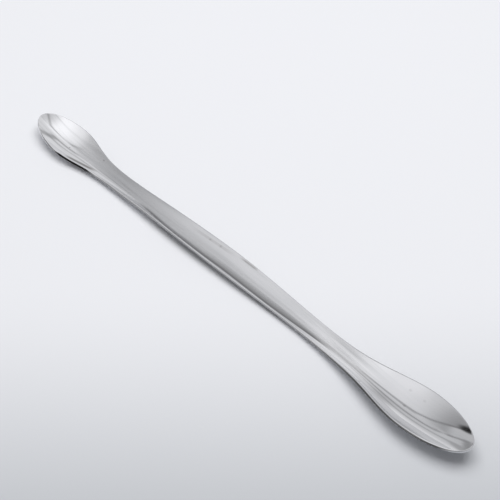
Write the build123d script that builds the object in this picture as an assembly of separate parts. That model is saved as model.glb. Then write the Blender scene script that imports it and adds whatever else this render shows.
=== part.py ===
from build123d import *
import os

import numpy as np

# A double-ended lab spoon pressed from one strip of sheet steel: a small bowl, a shallow
# gutter of a handle and a large bowl, in one piece. +X runs towards the large bowl, +Z is
# up, and the origin is on the floor under the middle of the length. Widths and depths are
# those of the outer surface, which is the underside.

# Whole piece
overall_length = 220.0
sheet_thickness = 1.1
rim_break = 0.22

# Small bowl, its places measured from its own tip
small_bowl_width = 16.4
small_bowl_widest = 17.8
small_bowl_depth = 2.9
small_bowl_lift = 0.05
small_tip_lift = 4.8
small_tip_slope = 0.45
small_shoulder_width = 11.4
small_shoulder = 31.6
small_shoulder_depth = 1.65
small_neck_width = 9.05
small_neck = 49.0
small_neck_depth = 1.7

# Handle, its widest place measured from the small tip
handle_width = 11.3
handle_middle = 107.0
handle_depth = 1.95
handle_lift = 0.25

# Large bowl, its places measured from its own tip
large_bowl_width = 19.45
large_bowl_widest = 23.1
large_bowl_depth = 4.15
large_bowl_lift = 0.8
large_tip_lift = 5.6
large_tip_slope = 0.35
large_shoulder_width = 12.85
large_shoulder = 44.6
large_shoulder_depth = 3.1
large_shoulder_lift = 0.8
large_neck_width = 9.45
large_neck = 65.0
large_neck_depth = 1.65

# Sideways bow of the strip between the bowls
handle_sway = 1.5
large_neck_sway = 1.25

# The forming surface goes past the cut edge at both tips and up both sides
run_out = 2.0
form_half_angle = 75.0
form_sections = 26
clear_height = 40.0

small_tip = -overall_length / 2
large_tip = overall_length / 2
places = [
    small_tip + small_bowl_widest,
    small_tip + small_shoulder,
    small_tip + small_neck,
    small_tip + handle_middle,
    large_tip - large_neck,
    large_tip - large_shoulder,
    large_tip - large_bowl_widest,
]
widths = [
    small_bowl_width,
    small_shoulder_width,
    small_neck_width,
    handle_width,
    large_neck_width,
    large_shoulder_width,
    large_bowl_width,
]
depths = [
    small_bowl_depth,
    small_shoulder_depth,
    small_neck_depth,
    handle_depth,
    large_neck_depth,
    large_shoulder_depth,
    large_bowl_depth,
]
lifts = [small_bowl_lift, 0, 0, handle_lift, 0, large_shoulder_lift, large_bowl_lift]
sways = [0, 0, 0, handle_sway, large_neck_sway, 0, 0]


def trough_radius(width, depth):
    """Radius of the round trough that has this width across its rims and this depth."""
    return ((width / 2) ** 2 + depth**2) / (2 * depth)


def smooth_curve(at, values, start_slope=0.0, end_slope=0.0):
    """Cubic spline through the values, which goes straight on past both ends."""
    gaps = np.diff(at)
    rates = np.diff(values) / gaps
    system = np.eye(len(at))
    wanted = np.zeros(len(at))
    wanted[0] = start_slope
    wanted[-1] = end_slope
    for i in range(1, len(at) - 1):
        before = gaps[i - 1]
        after = gaps[i]
        system[i, i - 1] = after
        system[i, i] = 2 * (before + after)
        system[i, i + 1] = before
        wanted[i] = 3 * (after * rates[i - 1] + before * rates[i])
    slopes = np.linalg.solve(system, wanted)

    def value_at(x):
        if x <= at[0]:
            return float(values[0] + start_slope * (x - at[0]))
        if x >= at[-1]:
            return float(values[-1] + end_slope * (x - at[-1]))
        i = int(np.searchsorted(at, x)) - 1
        u = (x - at[i]) / gaps[i]
        rise = values[i + 1] - values[i]
        bend_in = slopes[i] * gaps[i] - rise
        bend_out = rise - slopes[i + 1] * gaps[i]
        return float(values[i] + rise * u + u * (1 - u) * (bend_in * (1 - u) + bend_out * u))

    return value_at


radius_at = smooth_curve(places, [trough_radius(w, d) for w, d in zip(widths, depths)])
sway_at = smooth_curve(places, sways)
lift_at = smooth_curve(
    [small_tip, *places, large_tip],
    [small_tip_lift, *lifts, large_tip_lift],
    -small_tip_slope,
    large_tip_slope,
)


def trough_arc(x):
    """Open arc of the underside at one place along the strip."""
    radius = radius_at(x)
    across = Plane((x, sway_at(x), lift_at(x) + radius), x_dir=(0, 1, 0), z_dir=(1, 0, 0))
    arc = CenterArc((0, 0), radius, -90 - form_half_angle, 2 * form_half_angle)
    return Wire((across * arc).edge())


def forming_surface():
    """The underside of the strip before its outline is cut."""
    xs = np.linspace(small_tip - run_out, large_tip + run_out, form_sections)
    return Shell.make_loft([trough_arc(float(x)) for x in xs]).face()


def bowl_end(middle, reach, width, start):
    """Half an ellipse round the tip of a bowl, from one side of the bowl to the other."""
    return EllipticalCenterArc((middle, 0), reach, width / 2, start_angle=start, arc_size=180)


def side_line(hand):
    """Smooth side of the strip between the widest places of the two bowls."""
    points = [(x, sway + hand * width / 2) for x, width, sway in zip(places, widths, sways)]
    return Spline(*points, tangents=((1, 0), (1, 0)))


def cut_outline():
    """Upright block with the outline of the finished piece."""
    small_end = bowl_end(places[0], small_bowl_widest, small_bowl_width, 90)
    large_end = bowl_end(places[-1], large_bowl_widest, large_bowl_width, -90)
    outline = make_face(Wire([*(small_end + side_line(-1) + large_end + side_line(1)).edges()]))
    return extrude(Pos(0, 0, -clear_height / 2) * outline, clear_height)


def panels(form, block):
    """The trimmed underside, as short panels that join smoothly across the strip."""
    inner_cuts = [(small_tip + places[0]) / 2, *places, (places[-1] + large_tip) / 2]
    cuts = [small_tip - run_out, *inner_cuts, large_tip + run_out]
    faces = []
    for start, end in zip(cuts[:-1], cuts[1:]):
        window = Pos((start + end) / 2, 0, 0) * Box(end - start, clear_height, clear_height)
        faces.extend((form & (block & window)).faces())
    return faces


def rim_edges(solid):
    """The long edges of the narrow faces that run round the cut edge of the sheet."""
    rims = [face for face in solid.faces() if abs(face.normal_at().Z) < 0.9]
    return [edge for face in rims for edge in face.edges() if edge.length > 2 * sheet_thickness]


underside = Shell(panels(forming_surface(), cut_outline()))
sheet = Solid.thicken(underside, -sheet_thickness)
spoon = sheet.chamfer(rim_break, None, rim_edges(sheet))
spoon = spoon.moved(Location((0, 0, -spoon.bounding_box().min.Z)))

os.makedirs("parts", exist_ok=True)
export_step(spoon, "parts/double_ended_spoon.step")
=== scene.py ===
"""A double-ended lab spoon of polished sheet steel, lying on a pale studio floor."""

import math
from collections import namedtuple

import bpy
import numpy as np
from bpy.props import FloatProperty, FloatVectorProperty, IntProperty, PointerProperty
from bpy.types import Operator, Panel, PropertyGroup
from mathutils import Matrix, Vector


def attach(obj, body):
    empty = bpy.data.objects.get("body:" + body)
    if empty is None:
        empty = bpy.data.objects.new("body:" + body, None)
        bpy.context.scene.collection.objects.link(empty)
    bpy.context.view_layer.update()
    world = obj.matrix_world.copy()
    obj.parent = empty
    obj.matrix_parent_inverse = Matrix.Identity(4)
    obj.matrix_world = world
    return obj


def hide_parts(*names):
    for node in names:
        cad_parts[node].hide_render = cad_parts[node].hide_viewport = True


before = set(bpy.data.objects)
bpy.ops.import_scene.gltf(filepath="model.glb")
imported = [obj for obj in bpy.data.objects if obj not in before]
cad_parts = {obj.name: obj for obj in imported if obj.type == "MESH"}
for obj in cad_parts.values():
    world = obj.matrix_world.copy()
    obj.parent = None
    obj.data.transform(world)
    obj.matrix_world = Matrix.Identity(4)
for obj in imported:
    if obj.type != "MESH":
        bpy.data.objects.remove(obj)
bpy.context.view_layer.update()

bl_info = {
    "name": "Double-ended lab spoon",
    "version": (1, 0, 0),
    "blender": (4, 5, 0),
    "location": "View3D > Sidebar > Spoon",
    "description": "Builds a pressed steel spoon with a bowl at each end, and its studio",
    "category": "Object",
}

SPOON_NODE = "double_ended_spoon"
MILLIMETRE = 0.001
MERGE_DISTANCE = 0.002 * MILLIMETRE


def millimetres(name, value, words):
    """A size property whose default is written in millimetres."""
    return FloatProperty(
        name=name,
        description=words,
        default=value * MILLIMETRE,
        subtype="DISTANCE",
        unit="LENGTH",
        precision=5,
    )


def tone(name, colour, words):
    """A colour property."""
    return FloatVectorProperty(name=name, description=words, default=colour, subtype="COLOR", size=3)


def share(name, value, words):
    """A property that goes from 0 to 1."""
    return FloatProperty(name=name, description=words, default=value, subtype="FACTOR", min=0.0, max=1.0)


def degrees(name, value, words):
    """An angle property whose default is written in degrees."""
    return FloatProperty(name=name, description=words, default=math.radians(value), subtype="ANGLE")


class SpoonSizes(PropertyGroup):
    """Sizes of the pressed strip, those of its underside unless they say otherwise."""

    length: millimetres("Length", 220.0, "Overall length, from tip to tip")
    thickness: millimetres("Sheet thickness", 1.02, "Thickness of the steel")
    under_rounding: millimetres("Under edge rounding", 0.45, "Radius of the rim's lower edge")
    top_rounding: millimetres("Top edge rounding", 0.2, "Radius of the rim's upper edge")
    small_widest: millimetres("Small bowl widest", 17.8, "From the small tip to the widest place of its bowl")
    small_width: millimetres("Small bowl width", 16.4, "Width of the small bowl")
    small_depth: millimetres("Small bowl depth", 2.9, "Depth of the small bowl's trough")
    small_lift: millimetres("Small bowl lift", 0.05, "Height of the keel line under the small bowl")
    small_tip_lift: millimetres("Small tip lift", 4.8, "Height of the small tip over the keel line")
    small_tip_slope: FloatProperty(
        name="Small tip slope", description="Rise of the keel line at the small tip", default=0.45
    )
    small_shoulder: millimetres("Small shoulder", 31.6, "From the small tip to the bowl's shoulder")
    small_shoulder_width: millimetres("Small shoulder width", 11.4, "Width at the small bowl's shoulder")
    small_shoulder_depth: millimetres("Small shoulder depth", 1.65, "Trough depth at the small shoulder")
    small_neck: millimetres("Small neck", 49.0, "From the small tip to the neck")
    small_neck_width: millimetres("Small neck width", 9.05, "Width at the small neck")
    small_neck_depth: millimetres("Small neck depth", 1.7, "Trough depth at the small neck")
    middle: millimetres("Handle middle", 107.0, "From the small tip to the widest place of the handle")
    handle_width: millimetres("Handle width", 11.3, "Greatest width of the handle")
    handle_depth: millimetres("Handle depth", 1.95, "Trough depth where the handle is widest")
    handle_lift: millimetres("Handle lift", 0.25, "Height of the keel line where the handle is widest")
    handle_sway: millimetres("Handle sway", 1.5, "Sideways shift of the strip where the handle is widest")
    large_neck: millimetres("Large neck", 65.0, "From the large tip to the neck")
    large_neck_width: millimetres("Large neck width", 9.45, "Width at the large neck")
    large_neck_depth: millimetres("Large neck depth", 1.65, "Trough depth at the large neck")
    large_neck_sway: millimetres("Large neck sway", 1.25, "Sideways shift of the strip at the large neck")
    large_shoulder: millimetres("Large shoulder", 44.6, "From the large tip to the bowl's shoulder")
    large_shoulder_width: millimetres("Large shoulder width", 12.85, "Width at the large bowl's shoulder")
    large_shoulder_depth: millimetres("Large shoulder depth", 3.1, "Trough depth at the large shoulder")
    large_shoulder_lift: millimetres("Large shoulder lift", 0.8, "Height of the keel line at the shoulder")
    large_widest: millimetres("Large bowl widest", 23.1, "From the large tip to the widest place of its bowl")
    large_width: millimetres("Large bowl width", 19.45, "Width of the large bowl")
    large_depth: millimetres("Large bowl depth", 4.15, "Depth of the large bowl's trough")
    large_lift: millimetres("Large bowl lift", 0.8, "Height of the keel line under the large bowl")
    large_tip_lift: millimetres("Large tip lift", 5.6, "Height of the large tip over the keel line")
    large_tip_slope: FloatProperty(
        name="Large tip slope", description="Rise of the keel line at the large tip", default=0.35
    )
    outline_points: IntProperty(name="Outline points", description="Points round the cut edge", default=880)
    skin_rings: IntProperty(
        name="Skin rings", description="Rings from the keel line to the rim on each skin", default=20
    )
    round_rings: IntProperty(
        name="Rounding rings", description="Rings on each rounded edge of the rim", default=6
    )


class SteelLook(PropertyGroup):
    """Colours and grain of the polished steel; many of its tones are painted reflections and shade."""

    colour: tone("Steel", (0.73, 0.73, 0.74), "Colour of the handle's steel")
    # Painted reflections: the four tones below make the bowls and necks brighter or darker than the handle's
    # steel, standing in for what each part mirrors
    small_bowl_reflection_tone: tone("Small bowl", (0.86, 0.86, 0.87), "Colour of the small bowl's steel")
    small_neck_shade_tone: tone("Small neck", (0.57, 0.57, 0.58), "Colour of the darker small neck")
    large_neck_reflection_tone: tone("Large neck", (0.97, 0.97, 0.98), "Colour of the brighter large neck")
    large_bowl_reflection_tone: tone("Large bowl", (0.66, 0.66, 0.67), "Colour of the large bowl's steel")
    streak_colour: tone("Streaks", (0.62, 0.63, 0.64), "Colour of the duller streaks")
    # Draws the real pits and specks, and also the dark lines, which include painted shade and a painted
    # reflection
    pit_and_painted_line_colour: tone("Pits", (0.22, 0.21, 0.20), "Colour of the small pits and dark marks")
    # Painted light on the rim: the three tones below are painted shade and painted dark reflections on the
    # rim's face
    rim_shade_colour: tone("Rim", (0.42, 0.42, 0.43), "Colour of the sheared rim")
    rim_dark_reflection_colour: tone("Dark rim", (0.015, 0.015, 0.015), "Colour of the rim beside the small bowl")
    rim_large_bowl_reflection_colour: tone("Large bowl rim", (0.16, 0.16, 0.16), "Colour of the rim beside the large bowl")
    roughness: share("Bowl roughness", 0.09, "Roughness of the polished bowls")
    handle_roughness: share("Handle roughness", 0.25, "Roughness of the handle")
    line_pitch: millimetres("Line pitch", 0.28, "Spacing of the polishing lines across the strip")
    line_length: millimetres("Line length", 14.0, "Usual length of a polishing line")
    line_relief: FloatProperty(
        name="Line relief",
        description="Height that one unit of the steel's relief stands for",
        default=0.0000035,
        subtype="DISTANCE",
        unit="LENGTH",
        precision=6,
    )
    pit_spacing: millimetres("Pit spacing", 9.0, "Usual distance between pits")
    # Painted dark reflection along the near side of the handle: its colour, stretch, place and width
    reflection_band_colour: tone("Dull band", (0.12, 0.12, 0.12), "Colour of the dull band along the handle")
    band_start: millimetres("Band start", -55.0, "Where the dull band of the handle begins")
    band_end: millimetres("Band end", 50.0, "Where the dull band of the handle ends")
    band_aside: millimetres("Band place", -4.9, "Place of the band's dark edge beside the keel line")
    band_width: millimetres("Band width", 3.6, "Width of the dull band")


class StudioLook(PropertyGroup):
    """The floor and the camera."""

    floor_colour: tone("Floor", (0.805, 0.812, 0.840), "Colour of the floor behind the spoon")
    # Painted shade: the floor darkens to this colour towards the camera, standing in for the lamp's light
    # falling off
    shaded_floor_colour: tone("Near floor", (0.397, 0.418, 0.442), "Colour of the floor nearest the camera")
    camera_height: degrees("Camera elevation", 45.86, "Angle of the view above the floor")
    camera_turn: degrees("Camera heading", -42.98, "Angle from the spoon's length to the camera")
    camera_distance: millimetres("Camera distance", 600.0, "From the aim point to the camera")
    lens: FloatProperty(name="Lens", description="Focal length for a 36 mm wide sensor", default=120.67)
    aim: FloatVectorProperty(
        name="Aim",
        description="Point on the floor at the middle of the picture",
        default=(-0.00656, 0.01285, 0.0),
        subtype="XYZ",
        size=3,
    )


class Field:
    """A socket of a node tree that can be added to, multiplied and compared like a number."""

    def __init__(self, tree, socket):
        self.tree = tree
        self.socket = socket

    def node(self, kind, settings=None, inputs=None, output=0):
        """Any node of this tree: its settings first, then the values or links of its inputs."""
        made = self.tree.nodes.new(kind)
        for name, value in (settings or {}).items():
            setattr(made, name, value)
        for key, value in (inputs or {}).items():
            if isinstance(value, Field):
                self.tree.links.new(value.socket, made.inputs[key])
            else:
                made.inputs[key].default_value = value
        return Field(self.tree, made.outputs[output]) if made.outputs else None

    def sibling(self, output):
        """Another output of the node that this field comes from."""
        return Field(self.tree, self.socket.node.outputs[output])

    def parts(self):
        """The three numbers of this vector."""
        first = self.node("ShaderNodeSeparateXYZ", inputs={0: self})
        return [first.sibling(i) for i in range(3)]

    def math(self, operation, *values, clamp=False):
        """A Math node on this field and the given values."""
        inputs = dict(enumerate((self, *values)))
        return self.node("ShaderNodeMath", {"operation": operation, "use_clamp": clamp}, inputs)

    def __add__(self, other):
        return self.math("ADD", other)

    __radd__ = __add__

    def __mul__(self, other):
        return self.math("MULTIPLY", other)

    __rmul__ = __mul__

    def __sub__(self, other):
        return self.math("SUBTRACT", other)

    def __rsub__(self, other):
        return (self * -1.0) + other

    def __truediv__(self, other):
        return self.math("DIVIDE", other)

    def __rtruediv__(self, other):
        return self.math("POWER", -1.0) * other

    def __pow__(self, other):
        return self.math("POWER", other)

    def __abs__(self):
        return self.math("ABSOLUTE")

    def lesser(self, other):
        """The lesser of this field and the other value."""
        return self.math("MINIMUM", other)

    def greater(self, other):
        """The greater of this field and the other value."""
        return self.math("MAXIMUM", other)

    def smooth_lesser(self, other, softness):
        """The lesser of this field and the other value, with a smooth change between them."""
        return self.math("SMOOTH_MIN", other, softness)

    def clamped(self):
        """This field held between 0 and 1."""
        return self.math("ADD", 0.0, clamp=True)

    def between(self, low, high):
        """0 below low and 1 above high, with a smooth step between them."""
        settings = {"interpolation_type": "SMOOTHSTEP"}
        return self.node("ShaderNodeMapRange", settings, {"Value": self, "From Min": low, "From Max": high})

    def until(self, low, high):
        """1 below low and 0 above high, with a smooth step between them."""
        return 1.0 - self.between(low, high)

    def within(self, start, full, fading, end):
        """1 from full to fading and 0 outside start and end, with smooth steps between them."""
        return self.between(start, full) * self.until(fading, end)

    def mixed(self, low, high):
        """A colour that goes from low to high with this field."""
        inputs = {0: self, 6: opaque(low), 7: opaque(high)}
        return self.node("ShaderNodeMix", {"data_type": "RGBA"}, inputs, output=2)


def opaque(colour):
    """A plain colour with its alpha, or a field as it is."""
    return colour if isinstance(colour, Field) else (*colour, 1.0)


def smooth_curve(at, values, start_slope=0.0, end_slope=0.0):
    """Value and slope of a cubic spline through the values, straight on past both ends."""
    at = np.array(at, dtype=float)
    values = np.array(values, dtype=float)
    gaps = np.diff(at)
    rates = np.diff(values) / gaps
    system = np.eye(len(at))
    wanted = np.zeros(len(at))
    wanted[0] = start_slope
    wanted[-1] = end_slope
    for i in range(1, len(at) - 1):
        before = gaps[i - 1]
        after = gaps[i]
        system[i, i - 1] = after
        system[i, i] = 2 * (before + after)
        system[i, i + 1] = before
        wanted[i] = 3 * (after * rates[i - 1] + before * rates[i])
    slopes = np.linalg.solve(system, wanted)

    def value_and_slope(x):
        x = np.asarray(x, dtype=float)
        inside = np.clip(x, at[0], at[-1])
        i = np.clip(np.searchsorted(at, inside) - 1, 0, len(gaps) - 1)
        u = (inside - at[i]) / gaps[i]
        rise = values[i + 1] - values[i]
        bend_in = slopes[i] * gaps[i] - rise
        bend_out = rise - slopes[i + 1] * gaps[i]
        blend = bend_in * (1 - u) + bend_out * u
        value = values[i] + rise * u + u * (1 - u) * blend
        slope = (rise + (1 - 2 * u) * blend + u * (1 - u) * (bend_out - bend_in)) / gaps[i]
        slope = np.where(x < at[0], start_slope, np.where(x > at[-1], end_slope, slope))
        return value + slope * (x - inside), slope

    return value_and_slope


class Strip:
    """The shape rule of the pressed strip: its cut outline, and its trough at each place."""

    def __init__(self, sizes):
        small_tip = -sizes.length / 2
        large_tip = sizes.length / 2
        self.sizes = sizes
        self.places = [
            small_tip + sizes.small_widest,
            small_tip + sizes.small_shoulder,
            small_tip + sizes.small_neck,
            small_tip + sizes.middle,
            large_tip - sizes.large_neck,
            large_tip - sizes.large_shoulder,
            large_tip - sizes.large_widest,
        ]
        self.widths = [
            sizes.small_width,
            sizes.small_shoulder_width,
            sizes.small_neck_width,
            sizes.handle_width,
            sizes.large_neck_width,
            sizes.large_shoulder_width,
            sizes.large_width,
        ]
        depths = [
            sizes.small_depth,
            sizes.small_shoulder_depth,
            sizes.small_neck_depth,
            sizes.handle_depth,
            sizes.large_neck_depth,
            sizes.large_shoulder_depth,
            sizes.large_depth,
        ]
        self.sways = [0, 0, 0, sizes.handle_sway, sizes.large_neck_sway, 0, 0]
        lifts = [sizes.small_lift, 0, 0, sizes.handle_lift, 0, sizes.large_shoulder_lift, sizes.large_lift]
        radii = [((w / 2) ** 2 + d**2) / (2 * d) for w, d in zip(self.widths, depths)]
        self.radius = smooth_curve(self.places, radii)
        self.sway = smooth_curve(self.places, self.sways)
        self.lift = smooth_curve(
            [small_tip, *self.places, large_tip],
            [sizes.small_tip_lift, *lifts, sizes.large_tip_lift],
            -sizes.small_tip_slope,
            sizes.large_tip_slope,
        )

    def side(self, hand, count):
        """One side of the outline between the widest places of the bowls, small end first."""
        x = np.linspace(self.places[0], self.places[-1], count)
        edge = smooth_curve(self.places, [s + hand * w / 2 for s, w in zip(self.sways, self.widths)])
        return np.stack([x, edge(x)[0]], axis=1)

    def bowl_end(self, centre, reach, width, start, count):
        """Half an ellipse round the tip of a bowl, anticlockwise from the start angle."""
        turn = np.radians(np.linspace(start, start + 180, count))
        return np.stack([centre + reach * np.cos(turn), width / 2 * np.sin(turn)], axis=1)

    def outline(self, count):
        """Points evenly spaced along the closed cut outline, seen from above."""
        fine = 4000
        parts = [
            self.side(-1, fine),
            self.bowl_end(self.places[-1], self.sizes.large_widest, self.widths[-1], -90, fine),
            self.side(1, fine)[::-1],
            self.bowl_end(self.places[0], self.sizes.small_widest, self.widths[0], 90, fine),
        ]
        line = np.concatenate([part[:-1] for part in parts])
        closed = np.concatenate([line, line[:1]])
        along = np.concatenate([[0], np.cumsum(np.linalg.norm(np.diff(closed, axis=0), axis=1))])
        wanted = np.linspace(0, along[-1], count, endpoint=False)
        return np.stack([np.interp(wanted, along, closed[:, i]) for i in (0, 1)], axis=1)


def sheet_rings(sizes):
    """Section of half the sheet, from the keel line round the rim and back along the upper skin.

    Each ring is its share of the way out, its inset from the rim and its rise through the sheet.
    """
    closer_to_rim = 0.85
    skin = np.linspace(0, 1, sizes.skin_rings + 1)[:-1] ** closer_to_rim
    turns = np.linspace(0, math.pi / 2, sizes.round_rings + 1)
    under = sizes.under_rounding
    top = sizes.top_rounding
    rings = [(share, share * under, 0.0) for share in skin]
    rings += [(1.0, under * (1 - math.sin(t)), under * (1 - math.cos(t))) for t in turns[:-1]]
    rings += [(1.0, 0.0, under), (1.0, 0.0, sizes.thickness - top)]
    rings += [(1.0, top * (1 - math.cos(t)), sizes.thickness - top * (1 - math.sin(t))) for t in turns[1:]]
    rings += [(share, share * top, sizes.thickness) for share in skin[::-1]]
    return rings


def store(mesh, name, values):
    """Keep a number or a vector with each point of the mesh."""
    single = values.ndim == 1
    kept = mesh.attributes.new(name, "FLOAT" if single else "FLOAT_VECTOR", "POINT")
    kept.data.foreach_set("value" if single else "vector", values.astype(np.float32).ravel())


def flat_blank(sizes):
    """The cut blank before pressing: a closed flat mesh whose points carry the press's rule."""
    strip = Strip(sizes)
    edge = strip.outline(sizes.outline_points)
    keel_share = 0.62
    low = strip.places[0] - keel_share * (strip.places[0] + sizes.length / 2)
    high = strip.places[-1] + keel_share * (sizes.length / 2 - strip.places[-1])
    foot_x = np.clip(edge[:, 0], low, high)
    foot = np.stack([foot_x, strip.sway(foot_x)[0]], axis=1)
    outward = edge - foot
    least_distance = 1e-6
    distance = np.maximum(np.linalg.norm(outward, axis=1, keepdims=True), least_distance)
    rings = sheet_rings(sizes)
    points = []
    rises = []
    for share, inset, rise in rings:
        points.append(foot + outward * share * (1 - inset / distance * (share > 0)))
        rises.append(np.full(len(edge), rise))
    points = np.concatenate(points)
    rises = np.concatenate(rises)
    count = len(edge)
    faces = []
    for ring in range(len(rings) - 1):
        start = ring * count
        for i in range(count):
            j = (i + 1) % count
            faces.append((start + j, start + i, start + count + i, start + count + j))
    mesh = bpy.data.meshes.new("spoon_blank")
    mesh.from_pydata(np.column_stack([points, np.zeros(len(points))]).tolist(), [], faces)
    radius, radius_slope = strip.radius(points[:, 0])
    lift, lift_slope = strip.lift(points[:, 0])
    sway, sway_slope = strip.sway(points[:, 0])
    store(mesh, "trough", np.stack([radius, lift, sway], axis=1))
    store(mesh, "trough_slope", np.stack([radius_slope, lift_slope, sway_slope], axis=1))
    store(mesh, "rise", rises)
    store(mesh, "grain", np.stack([points[:, 0], points[:, 1] - sway, rises], axis=1))
    return mesh


def press_tree(material):
    """Geometry nodes that press the flat blank into its trough and give the sheet its thickness."""
    tree = bpy.data.node_groups.new("Spoon press", "GeometryNodeTree")
    tree.interface.new_socket("Blank", in_out="INPUT", socket_type="NodeSocketGeometry")
    tree.interface.new_socket("Floor gap", in_out="INPUT", socket_type="NodeSocketFloat")
    tree.interface.new_socket("Merge distance", in_out="INPUT", socket_type="NodeSocketFloat")
    tree.interface.new_socket("Spoon", in_out="OUTPUT", socket_type="NodeSocketGeometry")
    entry = tree.nodes.new("NodeGroupInput")
    blank = Field(tree, entry.outputs["Blank"])
    floor_gap = blank.sibling("Floor gap")
    merge_distance = blank.sibling("Merge distance")

    def stored(name, kind):
        return blank.node("GeometryNodeInputNamedAttribute", {"data_type": kind}, {"Name": name})

    x, y, _ = blank.node("GeometryNodeInputPosition").parts()
    radius, lift, sway = stored("trough", "FLOAT_VECTOR").parts()
    radius_slope, lift_slope, sway_slope = stored("trough_slope", "FLOAT_VECTOR").parts()
    rise = stored("rise", "FLOAT")
    aside = y - sway
    drop = (radius * radius - aside * aside).math("SQRT")
    height = lift + radius - drop
    slope_x = lift_slope + radius_slope - (radius * radius_slope + aside * sway_slope) / drop
    slope_y = aside / drop
    steepness = (slope_x * slope_x + slope_y * slope_y + 1.0).math("SQRT")
    pressed = blank.node(
        "ShaderNodeCombineXYZ",
        inputs={
            0: x - rise * slope_x / steepness,
            1: y - rise * slope_y / steepness,
            2: height + rise / steepness + floor_gap,
        },
    )
    shaped = blank.node("GeometryNodeSetPosition", inputs={"Geometry": blank, "Position": pressed})
    merging = {"Geometry": shaped, "Distance": merge_distance}
    merged = blank.node("GeometryNodeMergeByDistance", inputs=merging)
    smooth = blank.node("GeometryNodeSetShadeSmooth", inputs={"Geometry": merged})
    real = blank.node("GeometryNodeRealizeInstances", inputs={"Geometry": smooth})
    finished = blank.node("GeometryNodeSetMaterial", inputs={"Geometry": real, "Material": material})
    leave = tree.nodes.new("NodeGroupOutput")
    tree.links.new(finished.socket, leave.inputs["Spoon"])
    return tree


def pressed_spoon(sizes, material):
    """The finished spoon as a plain mesh object in the part's own frame."""
    blank = bpy.data.objects.new("spoon_blank", flat_blank(sizes))
    bpy.context.collection.objects.link(blank)
    keel_samples = 2000
    keel = Strip(sizes).lift(np.linspace(-sizes.length / 2, sizes.length / 2, keel_samples))[0]
    press = blank.modifiers.new("Press", "NODES")
    press.node_group = press_tree(material)
    sockets = {item.name: item.identifier for item in press.node_group.interface.items_tree}
    press[sockets["Floor gap"]] = float(-keel.min())
    press[sockets["Merge distance"]] = MERGE_DISTANCE
    evaluated = blank.evaluated_get(bpy.context.evaluated_depsgraph_get())
    mesh = bpy.data.meshes.new_from_object(evaluated)
    mesh.name = "spoon"
    for name in ("trough", "trough_slope", "rise"):
        if name in mesh.attributes:
            mesh.attributes.remove(mesh.attributes[name])
    spoon = bpy.data.objects.new("spoon", mesh)
    bpy.context.collection.objects.link(spoon)
    bpy.data.objects.remove(blank)
    return spoon


def new_material(name):
    """An empty material and a field of its tree to start from."""
    material = bpy.data.materials.new(name)
    material.use_nodes = True
    material.node_tree.nodes.clear()
    return material, Field(material.node_tree, None)


# The steel is described in millimetres. Its x runs along the strip from the middle of the length,
# aside runs across it from the keel line to the far side, and rise goes up through the sheet.

# Stretches of the strip over which one painted reflection tone gives way to the next
SMALL_BOWL_TO_NECK = (-86, -66)
SMALL_NECK_TO_HANDLE = (-66, -20)
HANDLE_TO_LARGE_NECK = (22, 52)
LARGE_NECK_TO_BOWL = (55, 73)

# Straight dark lines painted into the steel's colour: the one in the small bowl is painted shade, the one by
# the large neck a painted reflection of a dark gap, and the two on the far side are thin dark lines. Each has
# its slant, its place aside at the middle of the length, its half width at the core and in all, where along
# the strip they come and go, and how dark they are
DarkLine = namedtuple("DarkLine", "slant place core half stretch depth")
DARK_LINES = {
    "in the small bowl": DarkLine(0.26, 16.6, 0.4, 1.2, (-89.5, -85.5, -78.0, -73.5), 0.8),
    "by the large neck": DarkLine(0.032, -2.26, 0.2, 1.1, (39.0, 48.0, 60.0, 70.0), 0.24),
    "on the far wall": DarkLine(0.03, 4.52, 0.2, 0.8, (-30.0, -20.0, -12.0, -5.0), 0.2),
    "by the far rim": DarkLine(0.0, 5.05, 0.12, 0.5, (-5.0, -1.0, 2.5, 5.5), 0.5),
}

# Small dark specks, a little longer than wide
Speck = namedtuple("Speck", "along aside size depth")
SPECKS = (
    Speck(-76.9, 3.7, 0.5, 0.35),
    Speck(-18.4, 3.9, 0.5, 0.3),
    Speck(-13.3, 4.1, 0.5, 0.3),
    Speck(64.4, -4.8, 0.6, 0.25),
    Speck(78.7, 6.0, 0.6, 0.14),
    Speck(85.0, 6.0, 0.6, 0.13),
    Speck(81.0, 0.2, 0.6, 0.3),
)
SPECK_SQUEEZE = 0.7
SPECK_CORE = 0.4

# Pits: their radius at the core and in all, as a share of their spacing, and which cells have one
PIT_RADIUS = (0.012, 0.03)
PIT_CHANCE = (0.55, 0.6)
CLOUD_SCALE = 90.0


def steel_with_painted_reflections(x, aside, look):
    """Colour of the steel with painted reflections, from the small bowl to the large one: each bowl, neck and
    the handle gets its own brightness, the small neck is painted darker except along its near side, and the
    large bowl is darker except on its near wall, which keeps the large neck's bright tone.
    """
    beyond_near_side = aside.between(-2.5, -0.8)
    small_neck = beyond_near_side.mixed(look.small_bowl_reflection_tone, look.small_neck_shade_tone)
    near_wall = aside.until(-5.5, -3.0)
    large_bowl = near_wall.mixed(look.large_bowl_reflection_tone, look.large_neck_reflection_tone)
    colour = x.between(*SMALL_BOWL_TO_NECK).mixed(look.small_bowl_reflection_tone, small_neck)
    colour = x.between(*SMALL_NECK_TO_HANDLE).mixed(colour, look.colour)
    colour = x.between(*HANDLE_TO_LARGE_NECK).mixed(colour, look.large_neck_reflection_tone)
    return x.between(*LARGE_NECK_TO_BOWL).mixed(colour, large_bowl)


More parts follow.
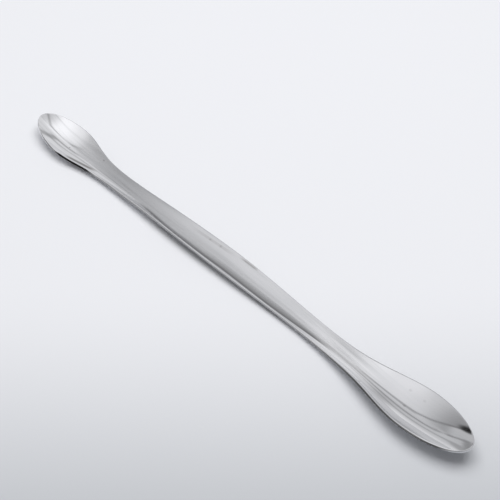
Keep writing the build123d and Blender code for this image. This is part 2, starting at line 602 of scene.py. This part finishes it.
def painted_reflection_band(x, aside, look):
    """Strength of the painted dark reflection band along the near side of the handle, darkest at its outer
    edge.
    """
    start = look.band_start / MILLIMETRE
    end = look.band_end / MILLIMETRE
    fade = 12.0
    edge_fade = 0.5
    strength = 0.93
    narrowest = 0.22
    by_small_neck = x.until(-50, -28)
    by_middle = x.between(-18, -4)
    by_large_neck = x.between(12, 56)
    moved_in = by_small_neck * 2.7 + by_middle * 0.5 + by_large_neck * 3.0
    inward = aside - moved_in - look.band_aside / MILLIMETRE
    widening = narrowest + x.between(-60, -20) * (1 - narrowest)
    narrowing = 1.0 - x.between(18, 46) * 0.45
    width = widening * narrowing * (look.band_width / MILLIMETRE)
    across = (1.0 - inward / width).clamped() * inward.between(-edge_fade, 0.0)
    return across * x.within(start, start + fade, end - fade, end) * strength


def dark_line(x, aside, line):
    """Strength of one straight dark line painted into the steel's colour."""
    distance = abs(aside - x * line.slant - line.place)
    return distance.until(line.core, line.half) * x.within(*line.stretch) * line.depth


def speck(x, aside, dot):
    """Strength of one dark speck."""
    distance = (((x - dot.along) * SPECK_SQUEEZE) ** 2 + (aside - dot.aside) ** 2).math("SQRT")
    return distance.until(dot.size * SPECK_CORE, dot.size) * dot.depth


def with_painted_rim_light(colour, x, aside, rise, look):
    """The steel's colour with painted light on the sheared rim: grey painted shade on the far side and beside
    the large bowl, a painted dark reflection on its lower part, nearly black beside the small bowl, and a
    painted highlight at both tips.
    """
    by_small_bowl = x.within(-93.5, -89.5, -77.5, -72.5)
    by_large_bowl = x.between(30, 70)
    rim_highlight_at_tips = (x.until(-98.5, -94.5) + x.between(101, 107)).clamped()
    off_underside = rise.between(0.02, 0.08)
    below_top = rise.until(0.94, 1.01)
    far_side = aside.between(0.0, 2.0)
    whole_rim = off_underside * below_top
    rim_strength = (by_large_bowl * 0.45).greater(far_side * 0.75)
    # Painted grey shade over the whole rim on the far side and beside the large bowl
    colour = (whole_rim * rim_strength).mixed(colour, look.rim_shade_colour)
    # Painted dark reflection on the rim's lower part, reaching higher beside the bowls
    dark_height = 0.62 + by_small_bowl * 0.3 + by_large_bowl * 0.14
    rim_shade_part = off_underside * (rise - dark_height).until(-0.05, 0.05)
    shade = by_large_bowl.mixed(look.rim_shade_colour, look.rim_large_bowl_reflection_colour)
    shade = by_small_bowl.mixed(shade, look.rim_dark_reflection_colour)
    # Painted highlight: at both tips the rim's lower part takes the handle's brighter steel colour
    shade = rim_highlight_at_tips.mixed(shade, look.colour)
    return rim_shade_part.mixed(colour, shade)


def dullness(x, aside):
    """1 where the steel is as dull as the handle, and 0 where it is as bright as the bowls."""
    handle = x.within(-72, -50, 46, 70)
    far_shoulder = x.within(-92, -86, -68, -56) * aside.between(-2.0, 0.0)
    return handle.greater(far_shoulder)


def steel_material(look):
    """Polished steel: fine lines along the strip, duller streaks and small pits, with painted reflections and
    shade in its colour: tones by region, a dark band along the handle, dark lines and a dark rim.
    """
    material, make = new_material("polished_steel")
    grain = make.node("ShaderNodeAttribute", {"attribute_name": "grain"}, output="Vector")
    x, aside, rise = [part / MILLIMETRE for part in grain.parts()]

    def streaks(along, across, detail):
        """Noise drawn out along the strip, as fine as the polishing lines or coarser."""
        scale = (along / look.line_length, across / look.line_pitch, 1 / look.line_pitch)
        place = make.node("ShaderNodeMapping", inputs={"Vector": grain, "Scale": scale})
        return make.node("ShaderNodeTexNoise", inputs={"Vector": place, "Scale": 1.0, "Detail": detail})

    lines = streaks(along=1.0, across=1.0, detail=3.0)
    broad = streaks(along=0.5, across=0.2, detail=2.0)
    clouds = make.node("ShaderNodeTexNoise", inputs={"Vector": grain, "Scale": CLOUD_SCALE, "Detail": 3.0})
    cells = {"Vector": grain, "Scale": 1 / look.pit_spacing}
    pit_distance = make.node("ShaderNodeTexVoronoi", inputs=cells)
    pit_chance = make.node("ShaderNodeSeparateColor", inputs={"Color": pit_distance.sibling("Color")})
    pits = pit_distance.until(*PIT_RADIUS) * pit_chance.between(*PIT_CHANCE)

    streaky = ((broad - 0.5) * 1.6 + (lines - 0.5) * 0.8 + 0.15).clamped()
    colour = streaky.mixed(steel_with_painted_reflections(x, aside, look), look.streak_colour)
    # Painted dark reflection band along the handle's near side
    colour = painted_reflection_band(x, aside, look).mixed(colour, look.reflection_band_colour)
    # Dark lines, among them painted shade and a painted reflection
    for line in DARK_LINES.values():
        colour = dark_line(x, aside, line).mixed(colour, look.pit_and_painted_line_colour)
    marks = sum([speck(x, aside, dot) for dot in SPECKS], pits)
    colour = marks.clamped().mixed(colour, look.pit_and_painted_line_colour)
    colour = with_painted_rim_light(colour, x, aside, rise, look)

    roughness = look.roughness + dullness(x, aside) * (look.handle_roughness - look.roughness)
    roughness = roughness + (lines - 0.5) * 0.06 + (clouds - 0.5) * 0.05 + pits * 0.3
    relief = {"Strength": 1.0, "Distance": look.line_relief, "Height": lines * 0.5 + broad * 0.9 - pits * 3.0}
    bump = make.node("ShaderNodeBump", inputs=relief)
    surface = make.node(
        "ShaderNodeBsdfPrincipled",
        inputs={"Base Color": colour, "Metallic": 1.0, "Roughness": roughness.clamped(), "Normal": bump},
    )
    make.node("ShaderNodeOutputMaterial", inputs={"Surface": surface})
    return material


def floor_material(look):
    """Pale floor with painted shade: its colour turns cooler and darker towards the camera, standing in for
    the lamp's light falling off.
    """
    material, make = new_material("studio_floor")
    x, y, _ = make.node("ShaderNodeTexCoord", output="Object").parts()
    camera_side = (0.73, -0.68)
    darkest = 0.17
    towards_camera = x * camera_side[0] + y * camera_side[1]
    # Painted shade towards the camera
    colour = towards_camera.between(0.0, darkest).mixed(look.floor_colour, look.shaded_floor_colour)
    surface = make.node(
        "ShaderNodeBsdfPrincipled", inputs={"Base Color": colour, "Roughness": 0.9, "Specular IOR Level": 0.1}
    )
    make.node("ShaderNodeOutputMaterial", inputs={"Surface": surface})
    return material


def lamp(name, place, aim, width, height, power):
    """A soft rectangular lamp that faces the aim point."""
    data = bpy.data.lights.new(name, "AREA")
    data.shape = "RECTANGLE"
    data.size = width
    data.size_y = height
    data.energy = power
    made = bpy.data.objects.new(name, data)
    made.location = place
    made.rotation_euler = (Vector(aim) - Vector(place)).to_track_quat("-Z", "Y").to_euler()
    bpy.context.collection.objects.link(made)
    return made


def mirrored_light(along, over):
    """Brightness that the steel mirrors from each direction of a wide soft box with dark gaps.

    The direction is given in degrees, along the strip towards the large bowl and over it towards
    the far side.
    """

    def gap(distance, half, depth):
        """A soft dark line between two panels of the box."""
        return 1.0 - abs(distance).until(half * 0.3, half * 1.4) * depth

    def patch(along_middle, over_middle, stretch, inner, outer, depth):
        """A dark spot, drawn out across the strip."""
        distance = ((along - along_middle) ** 2 + (over - over_middle) ** 2 * stretch).math("SQRT")
        return 1.0 - distance.until(inner, outer) * depth

    # Overhead the box is dim low down at the small end, brightest before the top and dimmer past it
    overhead = 0.42 + along.between(-45, -25) * 0.48 + along.between(-28, -13) * 0.2
    overhead = overhead - along.between(-9, 3) * 0.45 + along.until(-52, -46) * 0.14
    far_panel = 0.66 + along.between(-50, -38) * 0.1

    # Each gap's place over the strip, which bends towards one end or both
    first = ((along + 22) * 1.1 + 33).lesser(27.0) - (along + 5.5).greater(0.0) * 1.9
    first = first + (along + 35).lesser(0.0) * 0.9
    second = (along + 36).lesser(0.0) + 46
    small_end = (along + 50.5 - (over - 40).greater(0.0) * 0.13) * 1.6
    second_distance = (over - second).smooth_lesser(-18.5 - along, 4.0)
    second_distance = second_distance.smooth_lesser(small_end, 3.0)
    third_distance = (over - 60).smooth_lesser(along + 43, 5.0)
    third_depth = along.until(-23, -17) * 0.33

    beyond_first = (over - first).between(1, 5) * along.until(-46, -40)
    far_side = over.between(28, 42).greater(beyond_first)
    light = overhead * (1.0 - far_side) + far_side * far_panel
    light = light * gap((over - first) * 0.7, half=2.4, depth=0.46)
    light = light * gap(second_distance, half=3.2, depth=0.46)
    light = light * gap(third_distance, half=3.0, depth=third_depth)
    light = light * patch(along_middle=-50, over_middle=-12, stretch=0.15, inner=2.8, outer=6.3, depth=0.92)
    return light * (0.55 + over.between(-72, -60) * 0.45)


def studio_world():
    """Surroundings: a plain dim dome for the floor, and a soft box that only the steel mirrors."""
    world = bpy.data.worlds.new("studio")
    bpy.context.scene.world = world
    world.use_nodes = True
    world.node_tree.nodes.clear()
    make = Field(world.node_tree, None)
    dome = 0.33
    steel_in_steel = 0.8
    soft_white = (0.99, 0.995, 1.02)
    degree = 180 / math.pi
    x, y, z = make.node("ShaderNodeTexCoord", output="Generated").parts()
    light = mirrored_light(x.math("ARCSINE") * degree, y.math("ARCTAN2", z) * degree)
    glossy = make.node("ShaderNodeLightPath", output="Is Glossy Ray")
    twice = (glossy.sibling("Glossy Depth") - 1.0).clamped()
    light = light * (1.0 - twice) + twice * steel_in_steel
    strength = dome + (light - dome) * glossy
    shining = make.node("ShaderNodeBackground", inputs={"Color": opaque(soft_white), "Strength": strength})
    make.node("ShaderNodeOutputWorld", inputs={"Surface": shining})


def studio_floor(look):
    """A level square of pale floor under the spoon."""
    half = 1.5
    mesh = bpy.data.meshes.new("studio_floor")
    corners = [(-half, -half, 0), (half, -half, 0), (half, half, 0), (-half, half, 0)]
    mesh.from_pydata(corners, [], [(0, 1, 2, 3)])
    mesh.materials.append(floor_material(look))
    floor = bpy.data.objects.new("studio_floor", mesh)
    bpy.context.collection.objects.link(floor)
    return floor


def studio_camera(look):
    """The camera, which looks down on the spoon from beside its large bowl."""
    data = bpy.data.cameras.new("camera")
    data.lens = look.lens
    camera = bpy.data.objects.new("camera", data)
    bpy.context.collection.objects.link(camera)
    flat = math.cos(look.camera_height)
    sideways = (flat * math.cos(look.camera_turn), flat * math.sin(look.camera_turn))
    towards = Vector((*sideways, math.sin(look.camera_height)))
    camera.location = Vector(look.aim) + towards * look.camera_distance
    camera.rotation_euler = towards.to_track_quat("Z", "Y").to_euler()
    return camera


class SPOON_OT_pressed_strip(Operator):
    """Press the spoon from its blank, and give it its polished steel"""

    bl_idname = "spoon.pressed_strip"
    bl_label = "Pressed spoon"

    def execute(self, context):
        scene = context.scene
        spoon = pressed_spoon(scene.spoon_sizes, steel_material(scene.spoon_steel))
        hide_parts(SPOON_NODE)
        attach(spoon, "root")
        return {"FINISHED"}


class SPOON_OT_studio(Operator):
    """Add the floor, the lamp, the surroundings and the camera"""

    bl_idname = "spoon.studio"
    bl_label = "Studio"

    def execute(self, context):
        scene = context.scene
        studio_floor(scene.spoon_studio)
        overhead = lamp(
            "overhead", place=(-0.1, 0.15, 0.85), aim=(0, 0, 0), width=1.05, height=0.82, power=7.65
        )
        overhead.visible_glossy = False
        studio_world()
        scene.camera = studio_camera(scene.spoon_studio)
        scene.view_settings.view_transform = "Standard"
        return {"FINISHED"}


class SPOON_PT_panel(Panel):
    """The spoon's sizes, its finish and its studio"""

    bl_idname = "SPOON_PT_panel"
    bl_label = "Double-ended spoon"
    bl_space_type = "VIEW_3D"
    bl_region_type = "UI"
    bl_category = "Spoon"

    def draw(self, context):
        layout = self.layout
        for group in (context.scene.spoon_sizes, context.scene.spoon_steel, context.scene.spoon_studio):
            box = layout.box()
            for name in group.__annotations__:
                box.prop(group, name)
        for operator in (SPOON_OT_pressed_strip, SPOON_OT_studio):
            layout.operator(operator.bl_idname)


CLASSES = (SpoonSizes, SteelLook, StudioLook, SPOON_OT_pressed_strip, SPOON_OT_studio, SPOON_PT_panel)


def register():
    for each in CLASSES:
        bpy.utils.register_class(each)
    bpy.types.Scene.spoon_sizes = PointerProperty(type=SpoonSizes)
    bpy.types.Scene.spoon_steel = PointerProperty(type=SteelLook)
    bpy.types.Scene.spoon_studio = PointerProperty(type=StudioLook)


def unregister():
    del bpy.types.Scene.spoon_studio
    del bpy.types.Scene.spoon_steel
    del bpy.types.Scene.spoon_sizes
    for each in reversed(CLASSES):
        bpy.utils.unregister_class(each)


def main():
    """Build the spoon and its studio."""
    register()
    bpy.ops.spoon.pressed_strip()
    bpy.ops.spoon.studio()


if __name__ == "__main__":
    main()
